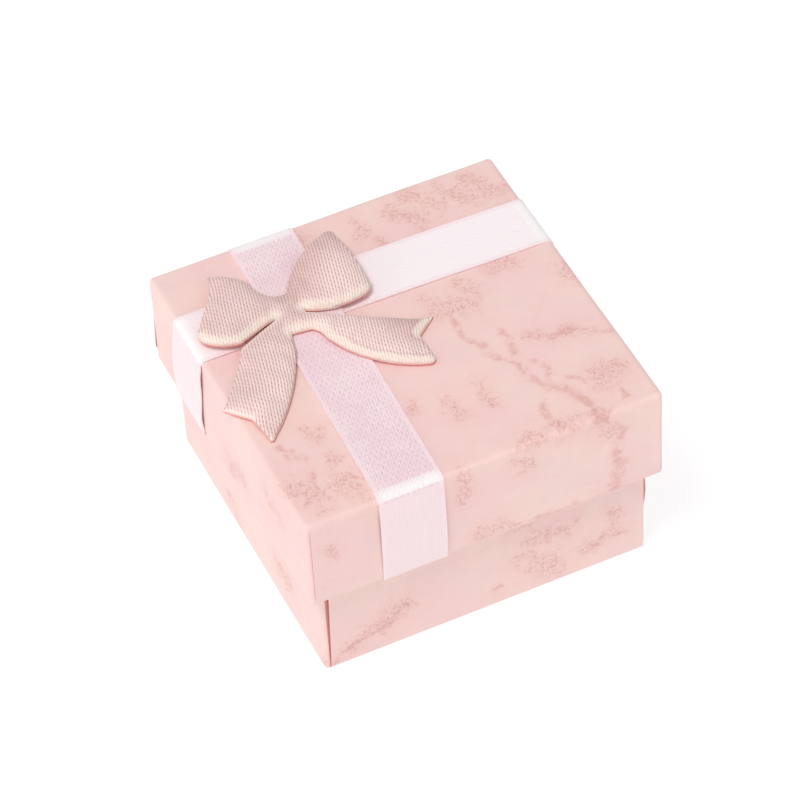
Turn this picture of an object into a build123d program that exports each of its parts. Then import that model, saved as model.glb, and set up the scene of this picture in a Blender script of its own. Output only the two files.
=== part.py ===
from build123d import *
import os

# A small square jewelry gift box: a rigid paperboard tray with a lift-off lid, both covered in
# printed paper, a ring pad inside, two satin ribbons crossed over the lid and a padded bow.
#
# Frame: millimetres, +Z up. The origin is the middle of the base's underside, the front is -Y,
# and the lid is on. Both trays are drawn closed end down, and the lid is then turned over.

# ---- Trays: paperboard, corner tape and the printed paper glued round them ----
LID_SIDE = 53.0  # outside of the covered lid, left to right and front to back
TOTAL_HEIGHT = 32.0  # underside to the top of the covered lid, without ribbon or bow
LID_HEIGHT = 15.5
BOARD = 1.2  # thickness of the grey paperboard
PAPER = 0.15  # thickness of the printed paper with its glue
SIDE_GAP = 0.5  # clearance between the base and the lid, on each side
STOP_GAP = 0.05  # clearance between the base's rim and the lid's ceiling
EDGE_RADIUS = 0.4  # the board's folded edges
RIM_RADIUS = 0.3  # the paper where it turns over a rim
CORNER_SLIT = 0.2  # gap between two folded walls where they meet at a corner
TAPE = 0.1  # corner tape, pressed flush into the board
TAPE_LEG = 8.0  # how far the tape reaches along each wall
TAPE_INSET = 1.5  # bare board above and below the tape
BASE_TURN_IN = 12.0  # how far the paper runs down inside the base
LID_TURN_IN = 9.5  # how far the paper runs up inside the lid

WALL = BOARD + 2 * PAPER
BASE_SIDE = LID_SIDE - 2 * (WALL + SIDE_GAP)
FLOOR = PAPER + BOARD
BASE_HEIGHT = TOTAL_HEIGHT - FLOOR - STOP_GAP
LID_RIM = TOTAL_HEIGHT - LID_HEIGHT

# ---- Ring pad: a foam block faced with velvet ----
PAD_GAP = 0.2  # clearance to the paper on each side
FOAM_HEIGHT = 15.0
VELVET = 0.5
RING_SLIT = (30.0, 1.2, 11.0)  # length, width and depth
CHAIN_SLIT = (6.0, 0.6, 8.0)  # a short cut across each back corner, for a necklace's chain
CHAIN_SLIT_IN = 6.0  # from the pad's sides to the middle of that cut

# ---- Ribbons ----
RIBBON_WIDTH = 9.5
RIBBON = 0.2  # thickness
LONG_RIBBON_X = -10.3  # runs front to back, over the other one
CROSS_RIBBON_Y = 12.0  # runs left to right
RIBBON_TAIL = 6.5  # how far each end runs up inside the lid
RIBBON_TOP_BEND = 0.5  # to the middle of the ribbon's thickness
RIBBON_RIM_BEND = 0.3
RAMP = 3.0  # the long ribbon climbs over the cross one in this distance
RAMP_CLEAR = 0.4
RAMP_BEND = 2.0
GLUE_FILM = 0.08  # flattened adhesive between a ribbon's end and the lid's inside
GLUE_FILM_SIZE = (7.0, 4.5)

# ---- Bow: one cut-out of padded fabric, held by a dot of glue ----
BOW_CENTRE = (-12.3, 10.4)
BOW_BACKING = 0.3
BOW_PADDING = 1.6
BOW_FABRIC = 0.25
BOW_GLUE = 0.25
BOW_GLUE_RADIUS = 2.0
BOW_GLUE_SHIFT = -1.2  # from the bow's centre towards its tails

PARTS = "parts"


def square_block(side, bottom, top):
    """A sharp-edged square block on the Z axis."""
    block = Box(side, side, top - bottom, align=(Align.CENTER, Align.CENTER, Align.MIN))
    return Pos(0, 0, bottom) * block


def folded_block(side, bottom, top, radius):
    """A square block whose upright edges and closed end are rounded as folded board is."""
    block = square_block(side, bottom, top)
    edges = block.edges().filter_by(Axis.Z) + block.faces().sort_by(Axis.Z)[0].edges()
    return fillet(edges, radius)


def at_corners(shape, reach):
    """Four copies of a shape that is drawn for the +X +Y corner, turned to each corner."""
    return [Rot(0, 0, 90 * turn) * Pos(reach, reach, 0) * shape for turn in range(4)]


def tray_tapes(board_side, top):
    """The four strips of stay tape that hold the folded walls together at the corners."""
    low, high = PAPER + BOARD + TAPE_INSET, top - PAPER - TAPE_INSET
    layer = folded_block(board_side, PAPER, top, EDGE_RADIUS) - folded_block(
        board_side - 2 * TAPE, PAPER - TAPE, top, EDGE_RADIUS - TAPE
    )
    column = square_block(2 * TAPE_LEG, low, high)
    return [layer & corner for corner in at_corners(column, board_side / 2)]


def tray_board(board_side, top, tapes):
    """The folded paperboard tray: one scored blank, so its walls only meet at the corners."""
    cavity_side = board_side - 2 * BOARD
    board = folded_block(board_side, PAPER, top - PAPER, EDGE_RADIUS)
    board -= square_block(cavity_side, FLOOR, top)
    slit = Rot(0, 0, 45) * Box(4 * BOARD, CORNER_SLIT, top - FLOOR)
    slit = Pos(0, 0, (top + FLOOR) / 2) * slit
    for cutter in at_corners(slit, board_side / 2 - BOARD / 2) + tapes:
        board -= cutter
    return board


def tray_wrap(side, top, turn_in):
    """The printed paper: over the closed end, the four walls, the rim, and down the inside."""
    board_side = side - 2 * PAPER
    cavity_side = board_side - 2 * BOARD
    wrap = folded_block(side, 0, top, EDGE_RADIUS + PAPER)
    wrap -= square_block(cavity_side - 2 * PAPER, FLOOR, top)
    rim_edges = wrap.faces().sort_by(Axis.Z)[-1].edges()
    wrap = fillet(rim_edges, RIM_RADIUS)
    wrap -= square_block(cavity_side, FLOOR, top - turn_in)
    filled = folded_block(board_side, PAPER, top - PAPER, EDGE_RADIUS)
    return wrap - (filled - square_block(cavity_side, FLOOR, top))


def covered_tray(side, height, turn_in):
    """(board, tapes, wrap) of one covered tray, standing closed end down on z = 0."""
    tapes = tray_tapes(side - 2 * PAPER, height)
    board = tray_board(side - 2 * PAPER, height, tapes)
    return board, Compound(tapes), tray_wrap(side, height, turn_in)


def slit_block(size, top):
    """The empty slot that a cut of (length, width, depth) leaves, open at z = top."""
    length, width, depth = size
    return Pos(0, 0, top - depth / 2) * Box(length, width, depth)


def ring_pad():
    """(foam, velvet) of the pad that stands in the base."""
    side = BASE_SIDE - 2 * (WALL + PAD_GAP)
    foam_top = FLOOR + FOAM_HEIGHT
    pad_top = foam_top + VELVET
    reach = side / 2 - CHAIN_SLIT_IN
    cuts = [slit_block(RING_SLIT, pad_top)]
    for sign in (-1, 1):
        turned = Rot(0, 0, sign * -45) * slit_block(CHAIN_SLIT, pad_top)
        cuts.append(Pos(sign * reach, reach, 0) * turned)
    foam = square_block(side, FLOOR, foam_top)
    velvet = square_block(side, foam_top, pad_top)
    for cut in cuts:
        foam -= cut
        velvet -= cut
    return foam, velvet


def ribbon_strip(hump):
    """A ribbon over the lid along X: up inside one wall, round its rim, across the top, and down
    the far side in the same way. hump is the (start, end) in x where it lies on another ribbon."""
    half = RIBBON / 2
    inside = LID_SIDE / 2 - WALL - GLUE_FILM - half
    outside = LID_SIDE / 2 + half
    top, rim = TOTAL_HEIGHT + half, LID_RIM - half
    end = LID_RIM + RIBBON_TAIL
    points = [(-inside, end), (-inside, rim), (-outside, rim), (-outside, top)]
    radii = [RIBBON_RIM_BEND, RIBBON_RIM_BEND, RIBBON_TOP_BEND]
    if hump:
        start, stop = hump
        points += [(start - RAMP, top), (start, top + RIBBON)]
        points += [(stop, top + RIBBON), (stop + RAMP, top)]
        radii += [RAMP_BEND] * 4
    points += [(outside, top), (outside, rim), (inside, rim), (inside, end)]
    radii += [RIBBON_TOP_BEND, RIBBON_RIM_BEND, RIBBON_RIM_BEND]
    path = FilletPolyline(*[(x, 0, z) for x, z in points], radius=radii)
    section = Plane(origin=path @ 0, z_dir=path % 0, x_dir=(0, 1, 0)) * Rectangle(RIBBON_WIDTH, RIBBON)
    return sweep(section, path=path)


def ribbons():
    """(long, cross): the strip from front to back, and the one from left to right under it."""
    half = RIBBON_WIDTH / 2 + RAMP_CLEAR
    long = Rot(0, 0, 90) * ribbon_strip((CROSS_RIBBON_Y - half, CROSS_RIBBON_Y + half))
    cross = Pos(0, CROSS_RIBBON_Y, 0) * ribbon_strip(None)
    return Pos(LONG_RIBBON_X, 0, 0) * long, cross


def ribbon_glue():
    """The four films of adhesive that hold the ribbons' ends to the inside of the lid."""
    width, height = GLUE_FILM_SIZE
    reach = LID_SIDE / 2 - WALL - GLUE_FILM / 2
    middle = LID_RIM + RIBBON_TAIL - height / 2 - 0.5
    film = Box(GLUE_FILM, width, height)
    films = [Pos(sign * reach, CROSS_RIBBON_Y, middle) * film for sign in (-1, 1)]
    turned = Rot(0, 0, 90) * film
    films += [Pos(LONG_RIBBON_X, sign * reach, middle) * turned for sign in (-1, 1)]
    return Compound(films)


def bow_outline():
    """The bow's cut-out, loops up and tails down, as a face on z = 0 about its knot."""
    tail_outer, tail_notch, tail_inner = (16.3, -12.2), (13.2, -15.3), (12.8, -20.0)
    right = [
        ThreePointArc((0, 2.0), (1.3, 2.35), (2.4, 3.7)),
        ThreePointArc((2.4, 3.7), (5.4, 7.1), (9.2, 9.4)),
        ThreePointArc((9.2, 9.4), (10.8, 9.4), (11.6, 8.2)),
        ThreePointArc((11.6, 8.2), (12.5, 3.6), (12.5, -1.0)),
        ThreePointArc((12.5, -1.0), (11.8, -2.6), (10.2, -3.3)),
        ThreePointArc((10.2, -3.3), (6.2, -3.2), (2.3, -1.8)),
        ThreePointArc((2.3, -1.8), (9.4, -6.7), tail_outer),
        Line(tail_outer, tail_notch),
        Line(tail_notch, tail_inner),
        ThreePointArc(tail_inner, (6.3, -14.5), (1.5, -5.8)),
        ThreePointArc((1.5, -5.8), (0.9, -5.25), (0, -5.1)),
    ]
    left = [mirror(edge, about=Plane.YZ) for edge in right]
    return make_face(right + left)


def bow():
    """(backing, padding, fabric, glue) of the padded bow, where it lies on the lid."""
    under = TOTAL_HEIGHT + 2 * RIBBON
    outline = bow_outline()
    core = offset(outline, amount=-BOW_FABRIC)
    backing = extrude(outline, amount=BOW_BACKING)
    padding = Pos(0, 0, BOW_BACKING) * extrude(core, amount=BOW_PADDING)
    cover = Pos(0, 0, BOW_BACKING) * extrude(outline, amount=BOW_PADDING + BOW_FABRIC)
    place = Pos(*BOW_CENTRE, under + BOW_GLUE)
    dot = Cylinder(BOW_GLUE_RADIUS, BOW_GLUE, align=(Align.CENTER, Align.CENTER, Align.MAX))
    glue = Pos(0, BOW_GLUE_SHIFT, 0) * dot
    return [place * shape for shape in (backing, padding, cover - padding, glue)]


def turned_over(shape):
    """A tray drawn closed end down, as the lid that covers the base."""
    return Pos(0, 0, TOTAL_HEIGHT) * Rot(180, 0, 0) * shape


def main():
    os.makedirs(PARTS, exist_ok=True)
    nodes = {}
    nodes["base_board"], nodes["base_corner_tapes"], nodes["base_wrap"] = covered_tray(
        BASE_SIDE, BASE_HEIGHT, BASE_TURN_IN
    )
    lid = [turned_over(shape) for shape in covered_tray(LID_SIDE, LID_HEIGHT, LID_TURN_IN)]
    nodes["lid_board"], nodes["lid_corner_tapes"], nodes["lid_wrap"] = lid
    nodes["insert_foam"], nodes["insert_velvet"] = ring_pad()
    nodes["ribbon_long"], nodes["ribbon_cross"] = ribbons()
    nodes["ribbon_glue_films"] = ribbon_glue()
    nodes["bow_backing"], nodes["bow_padding"], nodes["bow_fabric"], nodes["bow_glue"] = bow()
    for name, shape in nodes.items():
        export_step(shape, os.path.join(PARTS, f"{name}.step"))


main()
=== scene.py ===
import math
import bpy
import bmesh
import numpy as np
from mathutils import Matrix, Vector, geometry, noise
from mathutils.bvhtree import BVHTree


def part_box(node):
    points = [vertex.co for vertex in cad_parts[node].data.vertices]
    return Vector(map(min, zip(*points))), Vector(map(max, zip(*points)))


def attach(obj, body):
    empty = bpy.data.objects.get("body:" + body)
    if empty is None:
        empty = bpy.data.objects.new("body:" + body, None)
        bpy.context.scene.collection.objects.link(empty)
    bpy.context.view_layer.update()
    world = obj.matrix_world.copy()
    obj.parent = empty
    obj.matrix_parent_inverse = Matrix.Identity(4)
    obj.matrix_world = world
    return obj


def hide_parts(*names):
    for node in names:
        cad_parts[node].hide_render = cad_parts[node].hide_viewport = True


# A small pink paper gift box with a lift-off lid, crossed ribbons, a padded bow and a ring pad.
# Lengths are millimetres in the CAD's frame, and MM turns them into metres. The lights and the camera's
# clipping are given in metres.
# The front is -Y. The wraps, ribbons, bow and pad replace the plain CAD solids of those names.

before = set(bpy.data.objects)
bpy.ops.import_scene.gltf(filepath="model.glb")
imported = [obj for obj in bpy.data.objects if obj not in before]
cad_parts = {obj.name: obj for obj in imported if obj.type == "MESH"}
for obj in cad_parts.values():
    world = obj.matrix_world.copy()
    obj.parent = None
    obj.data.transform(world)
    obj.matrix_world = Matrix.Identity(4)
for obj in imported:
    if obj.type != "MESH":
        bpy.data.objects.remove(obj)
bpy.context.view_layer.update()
MM = 0.001

# ---- Sizes, read from the CAD or repeated from it ----
LID_LOW, LID_HIGH = (np.array(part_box("lid_wrap")) / MM).tolist()
BASE_LOW, BASE_HIGH = (np.array(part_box("base_wrap")) / MM).tolist()
FOAM_LOW, FOAM_HIGH = (np.array(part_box("insert_foam")) / MM).tolist()
VELVET_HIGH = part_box("insert_velvet")[1][2] / MM
LID_SIDE = LID_HIGH[0] - LID_LOW[0]
BASE_SIDE = BASE_HIGH[0] - BASE_LOW[0]
TOP = LID_HIGH[2]
PAPER = 0.15
PAPER_WAVE = 0.045  # how far the paper waves in and out
WALL = 1.5  # board with paper on both faces
FOLD = 0.7  # radius of the paper where it goes over the board's folded edges
RIM = 0.3  # radius of the paper where it turns over a rim
BASE_TURN_IN = 12.0
LID_TURN_IN = 9.5
LID_RIM = LID_LOW[2]
FLAP_REACH = np.array([0.0, 0.4, 1.2, 2.5, 4.5, 8.0])  # round a corner, under the next wall's paper
FLAP_SINK = 0.07
UNMARKED = 9.0  # half widths from the nearest mark of the print, from which no mark shows
RIBBON = 0.2
RIBBON_WIDTH = 9.5
RIBBON_TAIL = 6.5  # how far its ends run up inside the lid
RIBBON_LIFT = 0.03  # off the lid's walls
GLUE_FILM = 0.08
FAR_FROM_BEND = 99.0  # for the parts of a ribbon that have no bend near them
LONG_RIBBON_X = -10.3  # it lies over the other one
LONG_RIBBON_SKEW = 0.03  # the ribbons cross at a little off a right angle
CROSS_RIBBON_Y = 12.0
CROSS_RIBBON_SKEW = -0.015
# The satin's threads: waves in cycles per millimetre across and along the ribbon, with their strengths.
SATIN_WAVES = [((2.39, -0.3, 0), 0.18), ((1.2, 0.5, 0), 0.08),
               ((1.19, -0.8, 0), 0.07), ((0.0, 1.3, 0), 0.08)]
RING_SLIT = (30.0, 1.2, 11.0)  # length, width, depth
CHAIN_SLIT = (6.0, 0.6, 8.0)
CHAIN_SLIT_IN = 6.0

BOW_CENTRE = (-12.3, 10.4)
BOW_HEIGHT = 0.95  # its seam over the lid's top, at the neck
BOW_LOOP_RISE = 0.9  # of the loops' outer corners
BOW_CROWN = 1.55  # the most that the padding swells over the seam
BOW_SLACK = 0.08  # spare cloth in each direction, for the swelling
BOW_CLOTH = 0.2
BOW_BACKING = 0.3
BOW_SEAM_GAP = 0.02  # between the cloth's seam and the backing
BOW_STEP = 0.45  # between points of the outline that is simulated
BOW_FINE_STEP = 0.15  # and of the outline that is shown
SWELL_SCALE = 0.02  # metres in the simulation for a millimetre of bow
SWELL_FRAMES = 20
KNIT_PITCH = 0.415  # between ribs
KNIT_STITCH = 0.765  # along a rib
KNIT_STAGGER = 0.38  # of a stitch, from each rib to the next
KNIT_LEAN = 14.5  # degrees clockwise from +Y
KNIT_DEPTH = 0.09
# The bow's outline about its neck: each corner, and a point on the arc to the next one.
BOW_OUTLINE = [
    ((-1.7, 4.8), (-0.3, 3.5)),  # the neck, then the right loop
    ((1.4, 3.4), (5.9, 8.6)),
    ((9.9, 10.4), (11.0, 10.5)),
    ((11.5, 9.2), (12.2, 4.5)),
    ((12.2, -0.1), (11.8, -1.6)),
    ((10.8, -2.4), (6.8, -2.6)),
    ((2.2, -0.9), (2.2, -1.2)),
    ((2.5, -1.4), (8.6, -5.4)),  # the right tail
    ((15.4, -9.2), None),
    ((17.5, -9.7), None),
    ((14.3, -12.3), None),
    ((14.4, -16.9), (14.1, -17.5)),
    ((13.4, -17.7), (7.1, -13.8)),
    ((2.7, -6.9), (2.3, -5.4)),
    ((1.6, -4.6), None),  # the crotch
    ((-1.2, -4.2), (-1.6, -5.4)),
    ((-2.0, -7.2), (-4.9, -13.0)),  # the left tail
    ((-11.1, -20.6), (-11.5, -20.9)),
    ((-11.8, -20.3), None),
    ((-12.5, -16.0), None),
    ((-15.3, -12.8), (-12.1, -8.9)),
    ((-8.4, -3.5), None),
    ((-2.4, -0.85), (-2.2, -0.7)),
    ((-2.3, -0.6), None),  # the left loop
    ((-8.3, -3.05), (-10.6, -2.5)),
    ((-12.7, -0.9), (-13.1, 0.1)),
    ((-12.8, 1.3), (-11.4, 3.2)),
    ((-9.7, 5.4), (-8.5, 7.4)),
    ((-7.6, 9.8), (-7.3, 10.3)),
    ((-6.9, 10.2), (-4.4, 9.1)),
    ((-2.7, 7.6), (-2.3, 6.0)),
]


def srgb(red, green, blue):
    """A colour given as 0 to 255, as the linear colour that a shader takes."""
    levels = np.array([red, green, blue]) / 255
    linear = np.where(levels <= 0.04045, levels / 12.92, ((levels + 0.055) / 1.055) ** 2.4)
    return (*linear.tolist(), 1.0)


# ---- Colours ----
PAPER_ROSE = srgb(244, 207, 204)
PAPER_PEACH = srgb(245, 213, 205)
PAPER_COOL = srgb(240, 208, 206)
PAPER_FLECK = srgb(250, 226, 220)
PRINT_STAIN = srgb(240, 191, 185)
PRINT_SPECK = srgb(212, 157, 153)
PRINT_VEIN = srgb(220, 168, 161)
# Painted sheen: the cross ribbon's whiter colour, for the light that its threads catch more than the long
# ribbon's.
RIBBON_PAINTED_SHEEN = srgb(255, 243, 246)
RIBBON_PINK = srgb(248, 224, 228)
RIBBON_LILAC = srgb(245, 216, 223)
RIBBON_DASH = srgb(216, 182, 192)
# A white for painted highlights on the satin.
RIBBON_PAINTED_HIGHLIGHT = srgb(255, 250, 250)
RIBBON_BORDER = srgb(252, 228, 232)
KNIT_CREAM = srgb(251, 227, 221)
KNIT_PINK = srgb(248, 221, 217)
# Painted shade and painted highlight: the next two colours make the far slopes of the loops and tails darker
# and their near slopes paler.
KNIT_PAINTED_SHADE = srgb(228, 194, 189)  # of the loops' and tails' far sides
KNIT_PAINTED_HIGHLIGHT = srgb(249, 231, 220)  # of their near sides
# The knit's holes are coloured darker than its threads: painted shade in the holes.
KNIT_FURROW_SHADE = srgb(202, 162, 158)
# The furrows' colours under that painted shade and under that painted highlight.
KNIT_PAINTED_SHADE_FURROW = srgb(191, 152, 149)
KNIT_PAINTED_HIGHLIGHT_FURROW = srgb(232, 206, 196)
KNIT_LILAC = srgb(232, 208, 216)


# ==== Camera, stage and light ====
LENS = 181.96  # mm, on a 36 mm sensor
CAMERA_AZIMUTH = math.radians(-22.61)
CAMERA_ELEVATION = math.radians(46.22)
CAMERA_ROLL = math.radians(-3.67)
CAMERA_DISTANCE = 561.82
CAMERA_TARGET = Vector((0, 0, 18.0))
CAMERA_SHIFT = (-0.00715, 0.00654)
SKY_LEVEL = 0.5
FLOOR_GLOW = 0.81
FLOOR_HALF = 900.0


def new_object(name, data):
    made = bpy.data.objects.new(name, data)
    bpy.context.scene.collection.objects.link(made)
    return made


def add_camera():
    data = bpy.data.cameras.new("camera")
    data.lens, data.sensor_width = LENS, 36.0
    data.shift_x, data.shift_y = CAMERA_SHIFT
    data.clip_start, data.clip_end = 0.01, 10.0
    camera = new_object("camera", data)
    level = math.cos(CAMERA_ELEVATION)
    back = Vector((math.sin(CAMERA_AZIMUTH) * level, -math.cos(CAMERA_AZIMUTH) * level,
                   math.sin(CAMERA_ELEVATION)))
    right = Vector((0, 0, 1)).cross(back).normalized()
    up = back.cross(right)
    turned = Matrix((right, up, back)).transposed() @ Matrix.Rotation(CAMERA_ROLL, 3, "Z")
    camera.matrix_world = Matrix.Translation((CAMERA_TARGET + back * CAMERA_DISTANCE) * MM) @ turned.to_4x4()
    bpy.context.scene.camera = camera


def add_softbox(name, azimuth, elevation, distance, size, level):
    """A square light aimed at the box. Azimuth 0 is in front of it and 90 to its right. level is the
    brightness that it alone gives a white surface that faces it."""
    data = bpy.data.lights.new(name, "AREA")
    data.shape, data.size = "SQUARE", size
    data.energy = level * (math.pi * distance) ** 2
    lamp = new_object(name, data)
    a, e = math.radians(azimuth), math.radians(elevation)
    away = Vector((math.sin(a) * math.cos(e), -math.cos(a) * math.cos(e), math.sin(e)))
    lamp.location = away * distance
    lamp.rotation_euler = away.to_track_quat("Z", "Y").to_euler()


def add_studio():
    """Soft light from above, the left and the front, and a floor that is lit from within like a light
    table, so that it is white and shows only faint shadows."""
    scene = bpy.context.scene
    scene.view_settings.view_transform = "Standard"
    world = bpy.data.worlds.new("studio")
    world.use_nodes = True
    sky = world.node_tree.nodes["Background"].inputs
    sky["Color"].default_value = (1, 1, 1, 1)
    sky["Strength"].default_value = SKY_LEVEL
    scene.world = world
    add_softbox("key", -60, 65, 2.0, 0.7, 0.48)
    add_softbox("left_fill", -95, 12, 2.0, 1.0, 0.165)
    add_softbox("front_fill", 5, 25, 2.0, 1.0, 0.115)
    floor = Builder()
    ends = np.array([-FLOOR_HALF, FLOOR_HALF])
    floor.grid(joined(ends, ends[:, None], 0.0), flip=True)
    paint = Shader("floor")
    clouds = paint.noise(paint.millimetres(), 40.0, detail=3.0)
    shade = paint.mix(clouds, (0.22, 0.22, 0.22, 1), (0.24, 0.24, 0.24, 1))
    white = paint.finish({"Base Color": shade, "Roughness": 0.9, "Emission Color": (1, 1, 1, 1),
                          "Emission Strength": FLOOR_GLOW})
    stage = floor.mesh_object("floor", [white])


# ==== Meshes ====
class Builder:
    """Collects points and faces in millimetres, then makes one Blender object of them."""

    def __init__(self):
        self.points = []
        self.faces = []
        self.slots = []
        self.values = {}

    def grid(self, points, flip=False, slot=0, **values):
        """A rectangular net of points, shape (rows, columns, 3), with one number or vector per point
        in each of values."""
        rows, columns = points.shape[:2]
        start = sum(len(p) for p in self.points)
        self.points.append(points.reshape(-1, 3))
        for name, value in values.items():
            flat = np.broadcast_to(value, (rows, columns, *np.shape(value)[2:])).reshape(rows * columns, -1)
            self.values.setdefault(name, []).append(flat)
        corner = start + np.arange(rows - 1)[:, None] * columns + np.arange(columns - 1)[None, :]
        quads = np.stack([corner, corner + 1, corner + columns + 1, corner + columns], -1).reshape(-1, 4)
        self.faces += (quads[:, ::-1] if flip else quads).tolist()
        self.slots += [slot] * len(quads)

    def triangles(self, points, faces, slot=0, **values):
        """Points, shape (count, 3), and the triangles between them."""
        start = sum(len(p) for p in self.points)
        self.points.append(points)
        for name, value in values.items():
            self.values.setdefault(name, []).append(np.reshape(value, (len(points), -1)))
        self.faces += (np.asarray(faces) + start).tolist()
        self.slots += [slot] * len(faces)

    def mesh_object(self, name, materials, place=None, merge=None):
        points = np.concatenate(self.points)
        if place:
            points = place(points)
        mesh = bpy.data.meshes.new(name)
        mesh.from_pydata((points * MM).tolist(), [], self.faces)
        for key, parts in self.values.items():
            flat = np.concatenate(parts)
            kind = "FLOAT" if flat.shape[1] == 1 else "FLOAT_VECTOR"
            field = "value" if kind == "FLOAT" else "vector"
            mesh.attributes.new(key, kind, "POINT").data.foreach_set(field, flat.ravel().astype(np.float32))
        mesh.polygons.foreach_set("material_index", self.slots)
        mesh.polygons.foreach_set("use_smooth", [True] * len(self.faces))
        if merge:
            edit_mesh(mesh, lambda work: bmesh.ops.remove_doubles(work, verts=work.verts, dist=merge * MM))
        for material in materials:
            mesh.materials.append(material)
        return new_object(name, mesh)


def edit_mesh(mesh, change):
    work = bmesh.new()
    work.from_mesh(mesh)
    change(work)
    work.to_mesh(mesh)
    work.free()


def thicken(piece, thickness, offset=-1.0, edge_slot=0, back_slot=0):
    """Gives a sheet its thickness: behind its points at offset -1, on both sides of them at 0."""
    solid = piece.modifiers.new("thickness", "SOLIDIFY")
    solid.thickness, solid.offset = thickness * MM, offset
    solid.material_offset_rim = edge_slot
    solid.material_offset = back_slot
    solid.use_even_offset = True
    graph = bpy.context.evaluated_depsgraph_get()
    mesh = bpy.data.meshes.new_from_object(piece.evaluated_get(graph))
    piece.modifiers.clear()
    old, piece.data = piece.data, mesh
    bpy.data.meshes.remove(old)


def sharpen(piece, degrees):
    piece.data.set_sharp_from_angle(angle=math.radians(degrees))


def move_points(piece, shift):
    """Moves each point by shift(points, normals), both arrays in millimetres."""
    mesh = piece.data
    count = len(mesh.vertices)
    points = np.empty(count * 3)
    mesh.vertices.foreach_get("co", points)
    normals = np.array([v.normal for v in mesh.vertices])
    points = points.reshape(-1, 3) / MM
    points += shift(points, normals)
    mesh.vertices.foreach_set("co", (points * MM).ravel())
    mesh.update()


def soft_noise(points, size, seed):
    """Smooth noise from about -1 to 1, with features of that size in millimetres."""
    shift = Vector((seed * 17.3, seed * 5.1, seed * 9.7))
    return np.array([noise.noise(Vector(p) / size + shift) for p in points]) * 1.6


def smooth_step(x, low, high):
    t = np.clip((np.asarray(x, float) - low) / (high - low), 0, 1)
    return t * t * (3 - 2 * t)


def arc(start, stop, steps):
    """Angles in radians from start to stop, both in degrees."""
    return np.radians(np.linspace(start, stop, steps))


def settle(piece, node, body):
    """Puts a piece in a CAD node's place and the body that it rides on."""
    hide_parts(node)
    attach(piece, body)


# ==== Materials ====
class Value:
    """A node's output, which can be added to, subtracted from and multiplied."""

    def __init__(self, paint, socket):
        self.paint, self.socket = paint, socket

    def __add__(self, other):
        return self.paint.math("ADD", self, other)

    def __sub__(self, other):
        return self.paint.math("SUBTRACT", self, other)

    def __mul__(self, other):
        return self.paint.math("MULTIPLY", self, other)


class Shader:
    """A material made of nodes. Each call adds nodes and returns the last one's output."""

    def __init__(self, name):
        self.material = bpy.data.materials.new(name)
        self.material.use_nodes = True
        self.tree = self.material.node_tree
        self.tree.nodes.clear()

    def node(self, kind, sockets=None, output=0, **settings):
        made = self.tree.nodes.new("ShaderNode" + kind)
        for key, value in settings.items():
            setattr(made, key, value)
        for key, value in (sockets or {}).items():
            if isinstance(value, Value):
                self.tree.links.new(value.socket, made.inputs[key])
            else:
                made.inputs[key].default_value = value
        return Value(self, made.outputs[output])

    def math(self, operation, a, b=0.0):
        return self.node("Math", {0: a, 1: b}, operation=operation)

    def millimetres(self):
        """The place on the piece, in millimetres in its own frame."""
        place = self.node("TexCoord", output="Object")
        return self.node("VectorMath", {0: place, "Scale": 1 / MM}, operation="SCALE")

    def stretched(self, vector, factors):
        return self.node("VectorMath", {0: vector, 1: factors}, operation="MULTIPLY")

    def parts(self, vector):
        """The vector's three coordinates."""
        separate = self.node("SeparateXYZ", {0: vector}).socket.node
        return [Value(self, output) for output in separate.outputs]

    def attribute(self, name, output="Fac"):
        return self.node("Attribute", output=output, attribute_name=name)

    def noise(self, vector, size, detail=2.0, roughness=0.5, distortion=0.0):
        """Noise from 0 to 1, with features of about that size in the vector's units."""
        sockets = {"Vector": vector, "Scale": 1 / size, "Detail": detail, "Roughness": roughness,
                   "Distortion": distortion}
        return self.node("TexNoise", sockets, output="Fac")

    def wave(self, place, rate):
        """A wave from -1 to 1, of that many cycles per millimetre along each axis of place."""
        cycles = self.node("VectorMath", {0: place, 1: rate}, output="Value", operation="DOT_PRODUCT")
        return self.math("COSINE", cycles * (2 * math.pi))

    def ramp(self, value, low, high, to_low=0.0, to_high=1.0):
        """value taken from low..high to to_low..to_high with soft ends."""
        sockets = {"Value": value, "From Min": low, "From Max": high, "To Min": to_low, "To Max": to_high}
        return self.node("MapRange", sockets, interpolation_type="SMOOTHSTEP")

    def mix(self, factor, a, b):
        return self.node("Mix", {0: factor, 6: a, 7: b}, output=2, data_type="RGBA")

    def bump(self, height, distance, strength=1.0):
        """distance is the real height in millimetres of a height of 1."""
        return self.node("Bump", {"Height": height, "Distance": distance * MM, "Strength": strength})

    def finish(self, sockets):
        """The material, with these sockets on its Principled shader."""
        surface = self.node("BsdfPrincipled", sockets)
        output = self.tree.nodes.new("ShaderNodeOutputMaterial")
        self.tree.links.new(surface.socket, output.inputs["Surface"])
        return self.material


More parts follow.
